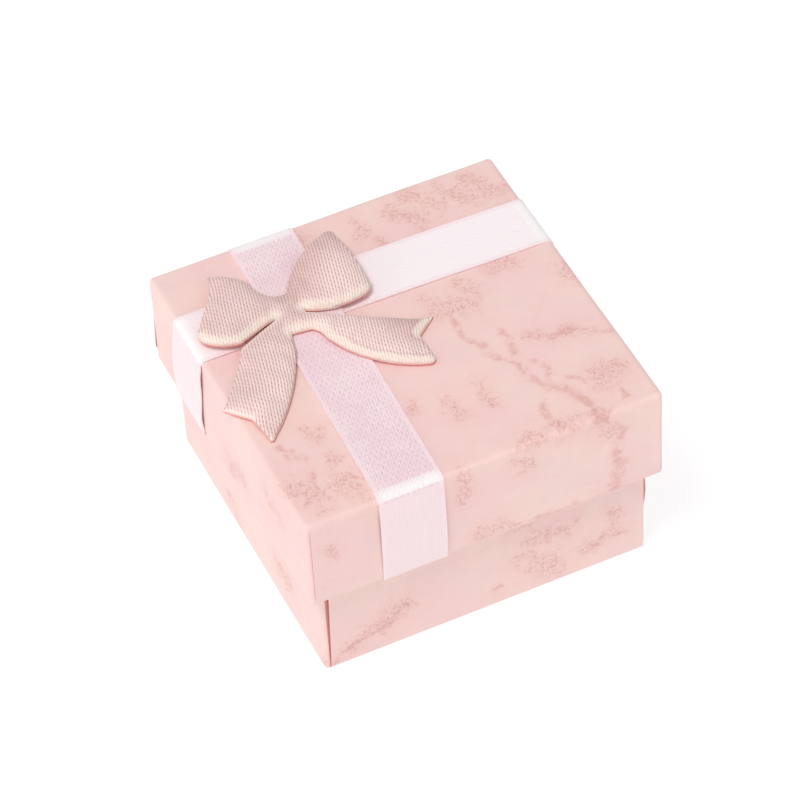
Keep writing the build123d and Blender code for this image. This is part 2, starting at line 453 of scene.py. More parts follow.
def printed_paper():
    """Pink paper with a faint marbled print. The vein and patch attributes hold the distance from the
    nearest of each, in its half widths; noise breaks them up into soft stains and fine specks."""
    paint = Shader("printed_paper")
    place = paint.millimetres()
    crumble = paint.noise(place, 1.1, detail=5.0, roughness=0.65) - 0.5
    wobble = paint.noise(place, 2.2, detail=2.0) - 0.5
    vein = paint.ramp(paint.attribute("vein") + wobble * 1.4 + crumble * 1.6, -0.2, 2.5, 1.0, 0.0)
    patch = paint.attribute("patch") + wobble * 2.4 + crumble * 2.6
    blush = paint.ramp(patch, 0.0, 4.0, 0.35, 0.0)
    patch = paint.ramp(patch, -0.3, 2.4, 1.0, 0.0)
    tone = paint.noise(place, 11.0, detail=3.0)
    cool = paint.noise(place, 6.0, detail=3.0, distortion=0.8)
    cloud = paint.noise(place, 3.5, detail=4.0, roughness=0.6, distortion=1.0)
    brush = paint.noise(place, 1.3, detail=3.0, roughness=0.6)
    grain = paint.noise(place, 0.38, detail=2.0, roughness=0.6)
    fleck = paint.noise(place, 0.3, detail=1.0)
    fibre = paint.noise(place, 0.3, detail=3.0, roughness=0.6)

    stain = paint.math("MAXIMUM", patch * 0.8, vein) * paint.ramp(brush, 0.35, 0.6, 0.2, 0.8)
    faint = paint.math("MAXIMUM", paint.ramp(cloud, 0.52, 0.72) * 0.22, blush)
    stain = paint.math("MAXIMUM", stain, faint)
    line = paint.ramp(vein, 0.4, 1.0) * paint.ramp(brush, 0.36, 0.58, 0.05, 0.6)
    specks = paint.ramp(grain, 0.42, 0.64) * paint.ramp(patch, 0.25, 0.95, 0.0, 0.6)

    colour = paint.mix(paint.ramp(tone, 0.35, 0.65), PAPER_ROSE, PAPER_PEACH)
    colour = paint.mix(paint.ramp(cool, 0.5, 0.7, 0.0, 0.5), colour, PAPER_COOL)
    colour = paint.mix(stain, colour, PRINT_STAIN)
    colour = paint.mix(line, colour, PRINT_VEIN)
    colour = paint.mix(specks, colour, PRINT_SPECK)
    colour = paint.mix(paint.ramp(fleck, 0.62, 0.75) * 0.15, colour, PAPER_FLECK)
    relief = fibre + paint.noise(place, 1.6) * 1.5
    return paint.finish({
        "Base Color": colour, "Roughness": paint.ramp(stain + line, 0.0, 1.0, 0.5, 0.62),
        "Specular IOR Level": 0.38, "Coat Weight": 0.3, "Coat Roughness": 0.5,
        "Normal": paint.bump(relief, 0.012, 0.6)})


def mottled(name, pale, deep, size, grain, relief, sockets):
    """Clouds of that size in two tones, with a grain of its own size and relief."""
    paint = Shader(name)
    place = paint.millimetres()
    colour = paint.mix(paint.noise(place, size, detail=3.0), srgb(*pale), srgb(*deep))
    normal = paint.bump(paint.noise(place, grain), relief)
    return paint.finish({"Base Color": colour, "Normal": normal, **sockets})


def paper_edge_and_gap_shade():
    """Dark reddish brown for the paper's cut edges and for the flaps and corner bends seen through the seam
    gaps: partly the cut edges' own colour, partly painted shade along them and in the gaps.
    """
    return mottled("paper_edge_and_gap_shade", (232, 158, 148), (196, 112, 104), 0.5, 0.1, 0.02, {"Roughness": 0.8})


def dried_glue():
    """Cloudy yellowish adhesive."""
    return mottled("dried_glue", (240, 232, 206), (222, 208, 172), 0.8, 0.6, 0.04,
                   {"Roughness": 0.35, "Coat Weight": 0.3})


def greyboard():
    """Lined paperboard: off-white paper outside, with grey pulp showing through in soft specks."""
    paint = Shader("greyboard")
    place = paint.millimetres()
    fibre = paint.noise(place, 0.9, detail=6.0, roughness=0.7)
    colour = paint.mix(paint.ramp(fibre, 0.35, 0.7), srgb(236, 230, 222), srgb(214, 206, 196))
    specks = paint.ramp(paint.noise(place, 0.25, detail=2.0), 0.68, 0.76) * 0.5
    colour = paint.mix(specks, colour, srgb(150, 140, 130))
    return paint.finish({"Base Color": colour, "Roughness": 0.85, "Normal": paint.bump(fibre, 0.02)})


def stay_tape():
    """Brown kraft tape with fine lines along its length."""
    paint = Shader("stay_tape")
    lines = paint.noise(paint.stretched(paint.millimetres(), (5.0, 5.0, 0.4)), 1.0, detail=4.0)
    colour = paint.mix(lines, srgb(196, 160, 118), srgb(168, 128, 88))
    return paint.finish({"Base Color": colour, "Roughness": 0.7, "Normal": paint.bump(lines, 0.01)})


def satin(name, tones, woven):
    """Satin ribbon in two tones. The weave attribute holds the distance across and along it, and the
    distance from its bend over the lid's edge, towards the top. woven is how strongly its threads show."""
    paint = Shader(name)
    weave = paint.attribute("weave", "Vector")
    across, along, past_bend = paint.parts(weave)
    painted_top_sheen = paint.ramp(paint.parts(paint.node("TexCoord", output="Normal"))[2], 0.3, 0.8)
    threads = paint.noise(paint.stretched(weave, (3.0, 1.4, 0)), 1.0, detail=2.0, roughness=0.6)
    for rate, strength in SATIN_WAVES:
        threads += paint.wave(weave, rate) * strength
    lines = paint.noise(paint.stretched(weave, (8.0, 0.12, 0)), 1.0, detail=2.0)
    blush = paint.noise(weave, 7.0, detail=2.0)
    patchy = paint.noise(weave, 2.5, detail=2.0)
    highlight_edge_noise = paint.noise(paint.stretched(weave, (4.0, 0.8, 0)), 1.0, detail=3.0) * 1.2 - 0.6

    colour = paint.mix(paint.ramp(blush, 0.35, 0.65), *tones)
    # Painted sheen by which way the ribbon faces: its tops take its own tones and show the thread dashes,
    # and its drops down the walls are plain pink.
    colour = paint.mix(painted_top_sheen, RIBBON_PINK, colour)
    shown = painted_top_sheen * paint.ramp(patchy, 0.3, 0.7, 0.75 * woven, woven)
    colour = paint.mix(paint.ramp(threads, 0.42, 0.72) * shown, colour, RIBBON_DASH)
    # Fine streaks along the threads, lightened as a painted sheen.
    colour = paint.mix(paint.ramp(lines, 0.5, 0.7) * 0.18, colour, RIBBON_PAINTED_HIGHLIGHT)
    # Painted highlight: a bright band just past the bend over the lid's edge, with ragged ends.
    bend_painted_highlight = paint.math("ABSOLUTE", past_bend - 1.0 + highlight_edge_noise)
    colour = paint.mix(paint.ramp(bend_painted_highlight, 0.4, 1.3, 1.0, 0.0) * 0.75, colour, RIBBON_PAINTED_HIGHLIGHT)
    # Darker thread dashes along the line of the bend.
    along_bend = paint.ramp(paint.math("ABSOLUTE", past_bend), 0.05, 0.22, 1.0, 0.0)
    colour = paint.mix(along_bend * paint.ramp(threads, 0.4, 0.6, 0.1, woven), colour, RIBBON_DASH)
    edge = RIBBON_WIDTH / 2
    border = paint.ramp(paint.math("ABSOLUTE", across), edge - 0.7, edge - 0.5)
    colour = paint.mix(border * 0.6, colour, RIBBON_BORDER)
    picot = paint.math("SINE", along * 14.0)
    height = threads + lines * 0.8 + border * picot * 0.2
    return paint.finish({
        "Base Color": colour, "Roughness": 0.34, "Specular IOR Level": 0.6,
        "Sheen Weight": 0.3, "Sheen Roughness": 0.35, "Sheen Tint": (1.0, 0.95, 0.96, 1.0),
        "Normal": paint.bump(height, 0.05, 0.8)})


def knit():
    """The bow's ribbed cloth. The ribs are in the mesh; this colours their furrows and stitches, the furrows
    darker as painted shade in the holes. stitch is the relief from 0 in a hole to 1 on a thread. pale is a
    painted highlight that is 1 where the cloth rolls down to the front, and shade is painted shade that is 1
    where it rolls down to the back."""
    paint = Shader("knit")
    place = paint.millimetres()
    stitch, pale, shade = (paint.attribute(name) for name in ("stitch", "pale", "shade"))
    # Threads take the light colours, and the holes between them take the darker furrow colours as painted
    # shade.
    thread = paint.ramp(stitch + paint.noise(place, 0.5, detail=2.0) * 0.4, 0.2, 0.95)
    tone = paint.noise(place, 5.0, detail=2.0)
    light = paint.mix(paint.ramp(tone, 0.35, 0.65), KNIT_PINK, KNIT_CREAM)
    # Painted shade on the far slopes and a painted highlight on the near slopes, for the threads and for the
    # furrows.
    light = paint.mix(pale, paint.mix(shade, light, KNIT_PAINTED_SHADE), KNIT_PAINTED_HIGHLIGHT)
    furrow_shade = paint.mix(pale, paint.mix(shade, KNIT_FURROW_SHADE, KNIT_PAINTED_SHADE_FURROW), KNIT_PAINTED_HIGHLIGHT_FURROW)
    lilac = paint.ramp(paint.noise(place, 0.7, detail=1.0), 0.55, 0.7, 0.0, 0.25)
    colour = paint.mix(lilac, paint.mix(thread, furrow_shade, light), KNIT_LILAC)
    return paint.finish({
        "Base Color": colour, "Roughness": 0.68, "Specular IOR Level": 0.35,
        "Sheen Weight": 0.3, "Sheen Roughness": 0.4, "Sheen Tint": (1.0, 0.93, 0.9, 1.0),
        "Normal": paint.bump(paint.noise(place, 0.12, detail=2.0), 0.03, 0.7)})


def felt(name, pale, deep, size):
    """Plain soft cloth or wadding, mottled with fine fibres of about that size."""
    paint = Shader(name)
    fibre = paint.noise(paint.millimetres(), size, detail=4.0, roughness=0.65)
    colour = paint.mix(paint.ramp(fibre, 0.3, 0.7), srgb(*pale), srgb(*deep))
    return paint.finish({"Base Color": colour, "Roughness": 0.9, "Sheen Weight": 0.25,
                         "Sheen Roughness": 0.5, "Normal": paint.bump(fibre, size * 0.3, 0.8)})


def foam():
    """Cream open-cell foam with small pores, darker in them as painted shade."""
    paint = Shader("foam")
    cells = paint.node("TexVoronoi", {"Vector": paint.millimetres(), "Scale": 3.2}, output="Distance")
    pores = paint.ramp(cells, 0.1, 0.5)
    colour = paint.mix(pores, srgb(243, 226, 208), srgb(253, 243, 229))
    return paint.finish({"Base Color": colour, "Roughness": 0.92, "Subsurface Weight": 0.2,
                         "Subsurface Scale": 0.6 * MM, "Normal": paint.bump(pores, 0.05)})


def velvet():
    """Cream flocking: short nap brushed this way and that."""
    paint = Shader("velvet")
    place = paint.millimetres()
    brushed = paint.noise(place, 9.0, detail=2.0, distortion=0.8)
    nap = paint.noise(place, 0.16, detail=2.0)
    colour = paint.mix(paint.ramp(brushed, 0.3, 0.7), srgb(250, 241, 233), srgb(245, 233, 223))
    colour = paint.mix(paint.ramp(nap, 0.45, 0.65, 0.0, 0.3), colour, srgb(230, 212, 201))
    return paint.finish({"Base Color": colour, "Roughness": 0.95, "Sheen Weight": 0.8,
                         "Sheen Roughness": 0.3, "Sheen Tint": (1.0, 0.96, 0.92, 1.0),
                         "Normal": paint.bump(nap, 0.06)})


# ==== Paper wraps ====
def wrap_profile(height, turn_in, steps):
    """(depth behind the wall's face, height) down a tray's wall from its closed end, round the rim
    and back inside."""
    points = [(FOLD * (1 - math.sin(a)), FOLD * (1 - math.cos(a))) for a in arc(0, 90, 6)]
    points += [(0.0, z) for z in np.linspace(FOLD, height - RIM, steps)[1:]]
    points += [(RIM * (1 - math.cos(a)), height - RIM + RIM * math.sin(a)) for a in arc(0, 90, 4)[1:]]
    points += [(WALL - RIM + RIM * math.sin(a), height - RIM + RIM * math.cos(a)) for a in arc(0, 90, 4)]
    points += [(WALL, z) for z in np.linspace(height - RIM, height - turn_in, 8)[1:]]
    return np.array(points)


def corner_name(quarter_turns, side, lid):
    """Which upright corner of the finished box a wall's end is at. A lid is drawn upside down."""
    x, y = side, -1
    for _ in range(quarter_turns):
        x, y = -y, x
    return ("front" if (y > 0) == lid else "back") + ("_left" if x < 0 else "_right")


def turned(points, quarter_turns):
    for _ in range(quarter_turns):
        points = np.stack([-points[..., 1], points[..., 0], points[..., 2]], -1)
    return points


def joined(*coordinates):
    """Points from their coordinates, each given for every row, for every column or for both."""
    return np.stack(np.broadcast_arrays(*coordinates), -1)


def nearest_mark(points, faces, half):
    """How far points are from the nearest of the marks on each face, in its half widths."""
    planes = {
        "top": lambda u, v: (u, v, TOP),
        "front": lambda u, v: (u, -half, v),
        "back": lambda u, v: (u, half, v),
        "left": lambda u, v: (-half, u, v),
        "right": lambda u, v: (half, u, v),
    }
    best = np.full(len(points), UNMARKED)
    for face, marks in faces.items():
        for width, *route in marks:
            route = np.array([planes[face](*place) for place in route], float)
            for start, end in zip(route, route[1:]):
                along = end - start
                share = np.clip((points - start) @ along / (along @ along), 0, 1)
                gap = np.linalg.norm(points - start - share[:, None] * along, axis=1)
                best = np.minimum(best, gap / width)
    return best


def under_wall(half, height, profile, share, corners, puffs):
    """The paper of the left or right wall, as (points, slot): its flat run, the bends round its
    corners, and the flaps beyond them. The flaps, and the bend where its paper stands away, take the dark
    edge colour as painted shade."""
    depth, level = profile[:, :1], profile[:, 1:]
    straight = half - np.maximum(depth, FOLD)
    radius = np.maximum(FOLD - depth, 0)
    y = -(straight + radius)
    puff = {}
    for end, corner in corners.items():
        low, high, amount = puffs.get(corner, (0, 1, 0))
        puff[end] = amount * np.sin(np.pi * np.clip((level - low) / (high - low), 0, 1)) ** 2
        y = y - puff[end] * smooth_step(end * share, 0.86, 1.0)
    main = joined(straight * share, y, level)
    grids = [(main, 0)]

    bend = arc(0, 90, 6)[1:]
    for end, corner in corners.items():
        y = -(straight + radius * np.cos(bend)) - puff[end] * np.cos(bend / 2)
        bent = joined(end * (straight + radius * np.sin(bend)), y, level)
        row = [main[:, -1:], bent] if end > 0 else [bent[:, ::-1], main[:, :1]]
        # A bend that stands away takes the dark edge colour: painted shade.
        grids.append((np.concatenate(row, 1), int(corner in puffs)))

    on_wall = level[(profile[:, 0] == 0) & (profile[:, 1] <= height - RIM)]
    sunk = FLAP_SINK * smooth_step(FLAP_REACH, 0, 0.4)
    for end in corners:
        flap = joined(end * (half - sunk), -(half - FOLD - FLAP_REACH), on_wall)
        # The flaps take the dark edge colour: painted shade where they show through the seam gaps.
        grids.append((flap if end > 0 else flap[:, ::-1], 1))
    return grids


def over_wall(half, height, profile, share, corners, seams):
    """The points of the front or back wall's paper, which ends in a cut edge at each corner."""
    depth, level = profile[:, :1], profile[:, 1:]
    x = (half - np.maximum(depth, FOLD)) * share
    y = -(half - depth)
    outer = (depth < 0.01) | (level < FOLD + 0.01)
    below_rim = smooth_step(height - level, 0.2, 2.0) * outer
    free = smooth_step(level, 0.0, 2.5) * below_rim * (depth < 0.01)
    for end, corner in corners.items():
        gap_closed, gap_rim, lift = seams[corner]
        gap = gap_closed + (gap_rim - gap_closed) * level / height
        near = smooth_step(end * x, half - 3.5, half - FOLD) * below_rim
        x = x - end * gap * near
        over_flap = 0.1 * smooth_step(end * x, half - 9.6, half - 8.2)
        curl = lift * smooth_step(end * x, half - 3.0, half - 0.6) ** 2
        y = y - (over_flap + curl) * free
    return joined(x, y, level)


def wrap_piece(name, body, side, height, turn_in, seams, puffs, lid, marks, materials):
    """The printed paper on a tray. The left and right walls' paper goes round the corners, and the
    front and back walls' paper lies over it with a cut edge at each corner.
    seams: corner to (gap at the closed end, gap at the rim, lift) of that cut edge.
    puffs: corner to (lowest, highest, amount) where the paper at the corner stands away, coloured dark as
    painted shade.
    marks: the print's veins and its patches, by face."""
    half = side / 2
    profile = wrap_profile(height, turn_in, round(2 * height) + 1)
    build = Builder()
    lines = np.linspace(FOLD - half, half - FOLD, round(2 * side) + 1)
    x, y = np.meshgrid(lines, lines)
    build.grid(joined(x, y, 0.0), flip=True)
    share = lines / (half - FOLD)
    for quarter in range(4):
        corners = {end: corner_name(quarter, end, lid) for end in (-1, 1)}
        if quarter % 2:
            for points, slot in under_wall(half, height, profile, share, corners, puffs):
                build.grid(turned(points, quarter), slot=slot)
        else:
            build.grid(turned(over_wall(half, height, profile, share, corners, seams), quarter))

    def place(points):
        return np.stack([points[:, 0], -points[:, 1], TOP - points[:, 2]], -1) if lid else points

    piece = build.mesh_object(name, materials, place, merge=0.01)
    points = np.array([v.co for v in piece.data.vertices]) / MM
    drifted = points + np.stack([0.7 * soft_noise(points, 3.5, seed) for seed in (1, 2, 3)], -1)
    for kind, faces in zip(("vein", "patch"), marks):
        found = nearest_mark(drifted, faces, half).astype(np.float32)
        piece.data.attributes.new(kind, "FLOAT", "POINT").data.foreach_set("value", found)
    wave = PAPER_WAVE * soft_noise(points, 14.0, 3 if lid else 8) * smooth_step(points[:, 2], 0.0, 2.0)
    move_points(piece, lambda p, n: n * wave[:, None])
    thicken(piece, PAPER, edge_slot=1, back_slot=1)
    sharpen(piece, 50)
    settle(piece, name.replace("_paper", "_wrap"), body)


# ==== Ribbons ====
def rounded_path(corners, radii, step):
    """Points about step apart along straight runs joined by arcs, as an array of (u, z)."""
    corners = np.array(corners, float)
    points = [corners[0]]
    for i in range(1, len(corners) - 1):
        before, here, after = corners[i - 1], corners[i], corners[i + 1]
        into = (here - before) / np.linalg.norm(here - before)
        out = (after - here) / np.linalg.norm(after - here)
        turn = math.atan2(into[0] * out[1] - into[1] * out[0], into.dot(out))
        radius = radii[i - 1]
        back_off = radius * math.tan(abs(turn) / 2)
        side = np.array([-into[1], into[0]]) * np.sign(turn)
        start = here - into * back_off
        centre = start + side * radius
        for a in np.linspace(0, turn, max(3, round(abs(turn) / 0.26)) + 1):
            c, s = math.cos(a), math.sin(a)
            arm = start - centre
            points.append(centre + np.array([c * arm[0] - s * arm[1], s * arm[0] + c * arm[1]]))
    points.append(corners[-1])
    filled = [points[0]]
    for a, b in zip(points, points[1:]):
        count = max(1, round(np.linalg.norm(b - a) / step))
        filled += [a + (b - a) * k / count for k in range(1, count + 1)]
    return np.array(filled)


def ribbon_piece(name, node, path, place, loosen, material):
    """A ribbon along a path of (u, z). place(u, across, z) puts it on the box, and
    loosen(u, z, across) is how far it stands off what it lies on."""
    step = np.diff(path, axis=0)
    run = np.concatenate([[0], np.cumsum(np.hypot(step[:, 0], step[:, 1]))])
    tangent = np.gradient(path, run, axis=0)
    tangent /= np.linalg.norm(tangent, axis=1, keepdims=True)
    normal = np.stack([-tangent[:, 1], tangent[:, 0]], -1)
    across = np.linspace(-RIBBON_WIDTH / 2, RIBBON_WIDTH / 2, 25)
    stand = loosen(path[:, :1], path[:, 1:], across[None, :])
    u = path[:, :1] + normal[:, :1] * stand
    z = path[:, 1:] + normal[:, 1:] * stand
    climbs = np.diff(np.sign(path[:, 1] - (TOP - 0.4)))
    past_bend = np.full(len(run), FAR_FROM_BEND)
    for i in np.flatnonzero(climbs):
        past = np.sign(climbs[i]) * (run - run[i])
        past_bend = np.where(abs(past) < abs(past_bend), past, past_bend)
    build = Builder()
    build.grid(joined(*place(u, across, z)), weave=joined(across, run[:, None], past_bend[:, None]))
    piece = build.mesh_object(name, [material])
    thicken(piece, RIBBON - 0.02, offset=0.0)
    sharpen(piece, 60)
    settle(piece, node, "lid")


def ribbon_route(hump=None):
    """A ribbon's middle line over the lid, as (u, z): down inside one wall, round its rim, up, over
    the top and the same way back inside. hump is the stretch of u where it lies on the other ribbon."""
    half = RIBBON / 2
    inside = LID_SIDE / 2 - WALL - GLUE_FILM - half
    outside = LID_SIDE / 2 + half + RIBBON_LIFT
    top, rim = TOP + half, LID_RIM - half
    corners = [(-inside, LID_RIM + RIBBON_TAIL), (-inside, rim), (-outside, rim), (-outside, top)]
    radii = [0.3, 0.3, 0.9]
    if hump:
        start, stop = hump
        corners += [(start - 3.0, top), (start, top + RIBBON), (stop, top + RIBBON), (stop + 3.0, top)]
        radii += [2.0] * 4
    corners += [(outside, top), (outside, rim), (inside, rim), (inside, LID_RIM + RIBBON_TAIL)]
    radii += [0.9, 0.3, 0.3]
    return rounded_path(corners, radii, 0.5)


def on_top(u, z):
    """1 where a ribbon lies on the lid's top, falling to 0 at its edges."""
    return (z > TOP - 0.5) * smooth_step(LID_SIDE / 2 - 0.5 - abs(u), 0, 3)


def on_near_wall(u, z):
    """1 where a ribbon hangs down the front or left wall, falling to 0 at the top and the rim."""
    near = u < 0.5 - LID_SIDE / 2
    return near * smooth_step(z, LID_RIM + 0.5, LID_RIM + 4) * smooth_step(TOP - z, 0.5, 4)


def add_ribbons():
    def loosen_long(u, z, across):
        ripple = 0.08 + 0.04 * np.sin(u / 4.1 + across / 6) + 0.03 * np.sin(across / 2.3 + u / 9)
        drop = 0.16 + 0.10 * np.sin(z / 3.2 + across / 4)
        return on_top(u, z) * ripple + on_near_wall(u, z) * drop

    def loosen_cross(u, z, across):
        free = smooth_step(abs(u - LONG_RIBBON_X), 5, 9)
        ripple = free * (0.05 + 0.04 * np.sin(u / 5.0 - across / 5))
        drop = 0.25 + 0.12 * np.sin(z / 2.6 - across / 3)
        return on_top(u, z) * ripple + on_near_wall(u, z) * drop

    def place_long(u, across, z):
        return LONG_RIBBON_X + LONG_RIBBON_SKEW * u + across, u, z

    def place_cross(u, across, z):
        slant = 1.5 * smooth_step(TOP - z, 0, 15) * (u < 0)
        return u, CROSS_RIBBON_Y + CROSS_RIBBON_SKEW * u + slant + across, z

    reach = RIBBON_WIDTH / 2 + 0.4
    hump = (CROSS_RIBBON_Y - reach, CROSS_RIBBON_Y + reach)
    # The cross ribbon is coloured all in the painted sheen, which hides its threads.
    ribbon_piece("satin_cross", "ribbon_cross", ribbon_route(), place_cross, loosen_cross,
                 satin("satin_cross", (RIBBON_PAINTED_SHEEN, RIBBON_PAINTED_SHEEN), 0.06))
    ribbon_piece("satin_long", "ribbon_long", ribbon_route(hump), place_long, loosen_long,
                 satin("satin_long", (RIBBON_LILAC, RIBBON_PINK), 0.5))


# ==== Flat outlines and the meshes that fill them ====
def arc_through(start, middle, end, step):
    """Points about step apart on the circle through three points, without the last one."""
    a, b, c = complex(*start), complex(*middle), complex(*end)
    w = (c - a) / (b - a)
    centre = a + (b - a) * (w - abs(w) ** 2) / (2j * w.imag)
    turn = np.angle((c - centre) / (a - centre))
    if np.sign(turn) != np.sign(np.angle((b - centre) / (a - centre))):
        turn -= math.copysign(2 * math.pi, turn)
    count = max(2, round(abs(turn) * abs(a - centre) / step))
    ring = centre + (a - centre) * np.exp(1j * turn * np.arange(count) / count)
    return np.stack([ring.real, ring.imag], -1)


def outline_points(outline, step):
    """A closed outline of (corner, point on the arc to the next corner or None for a straight line)."""
    points = []
    for i, (corner, via) in enumerate(outline):
        after = outline[(i + 1) % len(outline)][0]
        if via:
            points.append(arc_through(corner, via, after, step))
        else:
            count = max(1, round(math.dist(corner, after) / step))
            share = np.arange(count)[:, None] / count
            points.append(np.array(corner) * (1 - share) + np.array(after) * share)
    return np.concatenate(points)


def rectangle(centre, length, width, degrees=0.0, step=0.5):
    """A closed rectangular outline, as points about step apart."""
    turn = np.exp(1j * math.radians(degrees))
    corners = [complex(sx * length, sy * width) / 2 * turn + complex(*centre)
               for sx, sy in ((-1, -1), (1, -1), (1, 1), (-1, 1))]
    return outline_points([((c.real, c.imag), None) for c in corners], step)


def inside(points, loops):
    """Which of the points are inside the loops, by the even-odd rule."""
    hit = np.zeros(len(points), bool)
    for loop in loops:
        for (x1, y1), (x2, y2) in zip(loop, np.roll(loop, -1, axis=0)):
            if y1 != y2:
                crosses = (y1 > points[:, 1]) != (y2 > points[:, 1])
                hit ^= crosses & (points[:, 0] < x1 + (points[:, 1] - y1) * (x2 - x1) / (y2 - y1))
    return hit


def edge_distance(points, loops):
    """How far each point is from the nearest of the loops."""
    best = np.full(len(points), np.inf)
    for loop in loops:
        for a, b in zip(loop, np.roll(loop, -1, axis=0)):
            share = np.clip((points - a) @ (b - a) / ((b - a) @ (b - a)), 0, 1)
            best = np.minimum(best, np.linalg.norm(points - a - share[:, None] * (b - a), axis=1))
    return best


def lattice(loops, pitch_x, pitch_y, degrees=0.0):
    """A staggered net of points that covers the loops, turned by some degrees."""
    every = np.concatenate(loops)
    middle = (every.min(0) + every.max(0)) / 2
    reach = np.linalg.norm(every.max(0) - every.min(0)) / 2
    columns = np.arange(-reach, reach, pitch_x)
    rows = np.arange(-reach, reach, pitch_y)
    x, y = np.meshgrid(columns, rows)
    x = x + (np.arange(len(rows)) % 2)[:, None] * pitch_x / 2
    turn = np.exp(1j * math.radians(degrees))
    net = (x + 1j * y).ravel() * turn
    return np.stack([net.real, net.imag], -1) + middle


def fill(loops, net, clear):
    """(points, triangles) of the flat area inside the loops, with the net's points that are more
    than clear from its edges. The loops' own points come first and keep their order."""
    net = net[inside(net, loops)]
    net = net[edge_distance(net, loops) > clear]
    rim = np.concatenate(loops)
    edges, start = [], 0
    for loop in loops:
        count = len(loop)
        edges += [(start + i, start + (i + 1) % count) for i in range(count)]
        start += count
    points = np.concatenate([rim, net])
    found = geometry.delaunay_2d_cdt([Vector(p) for p in points], edges, [], 0, 1e-7)
    points, faces = np.array(found[0]), np.array(found[2])
    faces = faces[inside(points[faces].mean(1), loops)]
    first, second, third = (points[faces[:, i]] for i in range(3))
    area = np.cross(second - first, third - first)
    faces[area < 0] = faces[area < 0][:, ::-1]
    return points, faces


# ==== Bow ====
def bow_rise(x, y):
    """How high the bow's seam is over the lid's top: the loops stand up and the tails droop. Beyond
    the neck, the step between them is as narrow as the slit."""
    blend = 1.5 - 1.38 * smooth_step(abs(x), 1.8, 3.4)
    tail = smooth_step((-y - 0.42 * abs(x) + 0.25) / blend, -1, 1)
    loop = 0.22 * smooth_step(abs(x), 1.5, 4) + 0.4 * smooth_step(abs(x), 2, 13)
    loop += BOW_LOOP_RISE * smooth_step(abs(x), 1, 12) * smooth_step(y, -1, 9)
    return BOW_HEIGHT + (1 - tail) * loop - tail * 0.45 * smooth_step(np.hypot(x, y), 5, 21)


def swollen(points, faces, loop):
    """The places of a cloth over a flat outline, fixed at its seam and blown up by cloth simulation."""
    start = 0.6 * BOW_CROWN * (1 - np.exp(-edge_distance(points, [loop]) / 0.9))
    mesh = bpy.data.meshes.new("swell")
    mesh.from_pydata((np.column_stack([points, start]) * SWELL_SCALE).tolist(), [], faces.tolist())
    cloth = new_object("swell", mesh)
    seam = cloth.vertex_groups.new(name="seam")
    seam.add(list(range(len(loop))), 1.0, "REPLACE")
    settings = cloth.modifiers.new("cloth", "CLOTH").settings
    settings.vertex_group_mass = "seam"
    settings.shrink_min = -BOW_SLACK
    settings.use_pressure = True
    settings.uniform_pressure_force = 20.0
    settings.effector_weights.gravity = 0.0
    settings.quality = 6
    settings.mass = 0.2
    settings.tension_stiffness = settings.compression_stiffness = 12.0
    settings.shear_stiffness = 6.0
    settings.bending_stiffness = 0.6
    settings.air_damping = 3.0
    for frame_number in range(1, SWELL_FRAMES + 1):
        bpy.context.scene.frame_set(frame_number)
    graph = bpy.context.evaluated_depsgraph_get()
    result = cloth.evaluated_get(graph).to_mesh()
    after = np.empty(len(points) * 3)
    result.vertices.foreach_get("co", after)
    bpy.context.scene.frame_set(1)
    bpy.data.objects.remove(cloth)
    bpy.data.meshes.remove(mesh)
    return after.reshape(-1, 3) / SWELL_SCALE


def carried(coarse_points, coarse_faces, coarse_result, points):
    """The simulated result at other flat points, from the triangle that each lies in."""
    corners = [Vector((x, y, 0)) for x, y in coarse_points]
    tree = BVHTree.FromPolygons(corners, coarse_faces.tolist())
    which = np.array([tree.find_nearest(Vector((x, y, 0)))[2] for x, y in points])
    triangle = coarse_points[coarse_faces[which]]
    a, b, c = triangle[:, 0], triangle[:, 1], triangle[:, 2]
    whole = np.cross(b - a, c - a)
    share_b = np.cross(points - a, c - a) / whole
    share_c = np.cross(b - a, points - a) / whole
    shares = np.stack([1 - share_b - share_c, share_b, share_c], -1)
    return (coarse_result[coarse_faces[which]] * shares[:, :, None]).sum(1)


def relaxed(values, faces, fixed, rounds):
    """values moved towards the mean of their neighbours, except the first few."""
    pairs = np.concatenate([faces[:, [0, 1]], faces[:, [1, 2]], faces[:, [2, 0]]])
    pairs = np.concatenate([pairs, pairs[:, ::-1]])
    count = np.bincount(pairs[:, 0], minlength=len(values))[:, None]
    for _ in range(rounds):
        sums = [np.bincount(pairs[:, 0], values[pairs[:, 1], k], len(values)) for k in range(3)]
        total = np.stack(sums, -1)
        values = np.concatenate([values[:fixed], (0.5 * values + 0.5 * total / count)[fixed:]])
    return values


def knit_relief(x, y):
    """0 in a hole to 1 on a thread: ribs that lean clockwise, of stitches staggered from rib to rib."""
    lean = math.radians(KNIT_LEAN)
    rib = (x * math.cos(lean) - y * math.sin(lean)) / KNIT_PITCH
    row = (x * math.sin(lean) + y * math.cos(lean)) / KNIT_STITCH + KNIT_STAGGER * rib
    rows = np.cos(2 * np.pi * row) + np.cos(2 * np.pi * (rib - row))
    return np.clip((1.0 - 0.78 * np.cos(2 * np.pi * rib) - 0.15 * rows) / 1.7, 0, 1)


def puffed_bow(loop):
    """The bow's flat net of points, its triangles, and where the padding pushes the points to."""
    flat, faces = fill([loop], lattice([loop], 0.5, BOW_STEP), 0.2)
    puffed = swollen(flat, faces, loop)
    puffed[:, 2] = BOW_CROWN * np.tanh(puffed[:, 2] / BOW_CROWN)
    x, y = flat[:, 0], flat[:, 1]
    neck = 0.2 * np.exp(-((x - 0.2) / 1.2) ** 2) * smooth_step(y, -3, -1)
    crease = 0.3 * np.exp(-((x - 1.7 - 0.25 * y) / 0.35) ** 2) * smooth_step(y, -1.6, 0)
    puffed[:, 2] *= 1 - neck - crease
    return flat, faces, puffed


